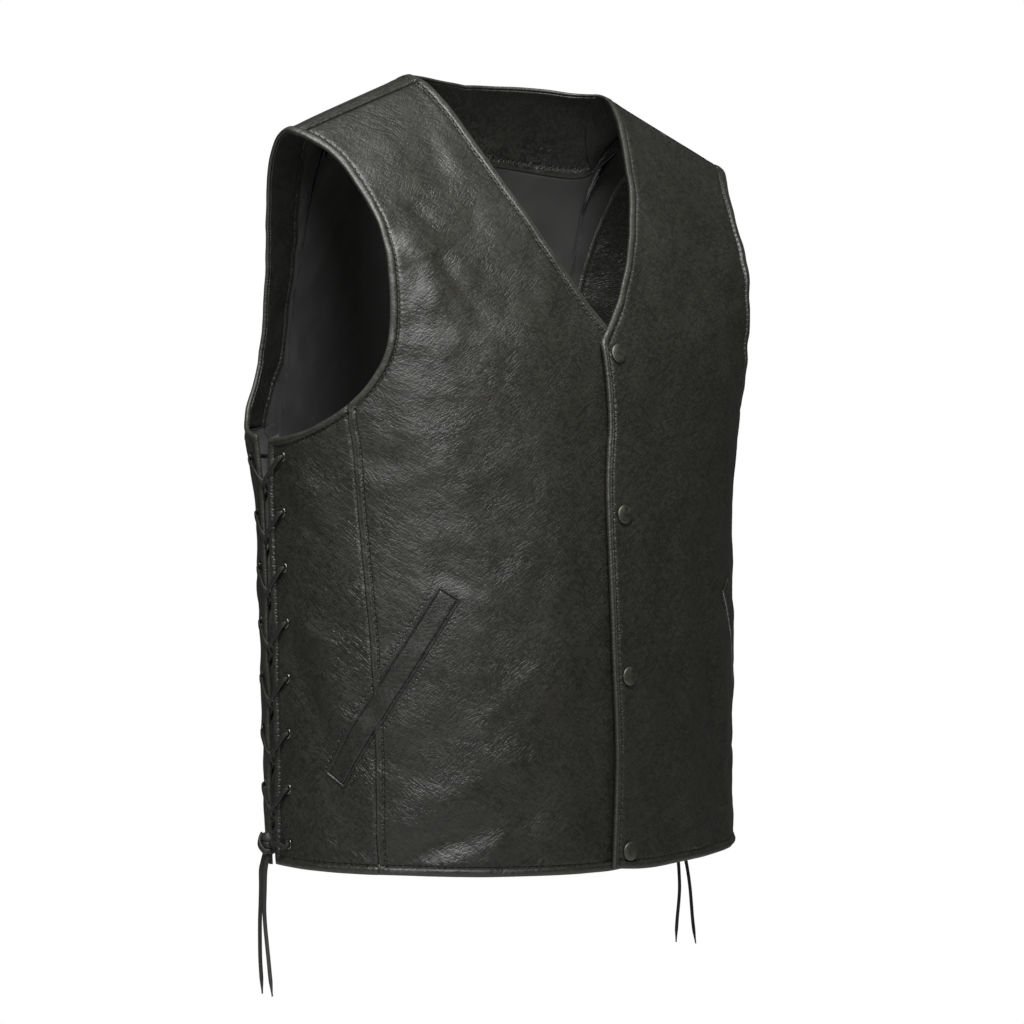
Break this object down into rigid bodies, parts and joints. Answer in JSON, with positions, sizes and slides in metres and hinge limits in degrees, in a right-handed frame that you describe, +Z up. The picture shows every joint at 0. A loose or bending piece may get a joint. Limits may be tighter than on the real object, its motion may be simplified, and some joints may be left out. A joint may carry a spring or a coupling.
{
  "type": "leather vest",
  "caption": "Sleeveless leather vest with a V neck, snap front, slanted pocket welts and laced sides, in its hollow worn shape.",
  "frame": {"origin": "midway between the shoulder tops, at their height, where the wearer's shoulders carry the vest", "axes": "+Z up, the wearer faces -Y, and +X is the wearer's left"},
  "size_m": [0.4636, 0.3082, 0.7458],
  "materials": {
    "hide": "satin, fine wrinkled grain",
    "lining": "matte twill with a soft sheen",
    "gunmetal": "dark gunmetal plating, satin",
    "thong": "satin"
  },
  "bodies": {
    "root": {"front_right": "hide", "front_left": "hide", "side_right": "hide", "side_left": "hide", "back": "hide", "facing_front_right": "hide", "facing_front_left": "hide", "facing_neck": "hide", "facing_armhole_right": "hide", "facing_armhole_left": "hide", "pocket_welt_right": "hide", "pocket_welt_left": "hide", "lining_front_right": "lining", "lining_front_left": "lining", "lining_back": "lining", "snap_1": "gunmetal", "snap_2": "gunmetal", "snap_3": "gunmetal", "snap_4": "gunmetal", "eyelet_right_front_1": "gunmetal", "eyelet_right_front_2": "gunmetal", "eyelet_right_front_3": "gunmetal", "eyelet_right_front_4": "gunmetal", "eyelet_right_front_5": "gunmetal", "eyelet_right_front_6": "gunmetal", "eyelet_right_front_7": "gunmetal", "eyelet_right_front_8": "gunmetal", "eyelet_right_back_1": "gunmetal", "eyelet_right_back_2": "gunmetal", "eyelet_right_back_3": "gunmetal", "eyelet_right_back_4": "gunmetal", "eyelet_right_back_5": "gunmetal", "eyelet_right_back_6": "gunmetal", "eyelet_right_back_7": "gunmetal", "eyelet_right_back_8": "gunmetal", "eyelet_left_front_1": "gunmetal", "eyelet_left_front_2": "gunmetal", "eyelet_left_front_3": "gunmetal", "eyelet_left_front_4": "gunmetal", "eyelet_left_front_5": "gunmetal", "eyelet_left_front_6": "gunmetal", "eyelet_left_front_7": "gunmetal", "eyelet_left_front_8": "gunmetal", "eyelet_left_back_1": "gunmetal", "eyelet_left_back_2": "gunmetal", "eyelet_left_back_3": "gunmetal", "eyelet_left_back_4": "gunmetal", "eyelet_left_back_5": "gunmetal", "eyelet_left_back_6": "gunmetal", "eyelet_left_back_7": "gunmetal", "eyelet_left_back_8": "gunmetal", "lace_right": "thong", "lace_left": "thong", "lace_knot_right": "thong", "lace_knot_left": "thong", "lace_tail_right_1": "thong", "lace_tail_right_2": "thong", "lace_tail_left_1": "thong", "lace_tail_left_2": "thong"}
  },
  "joints": []
}
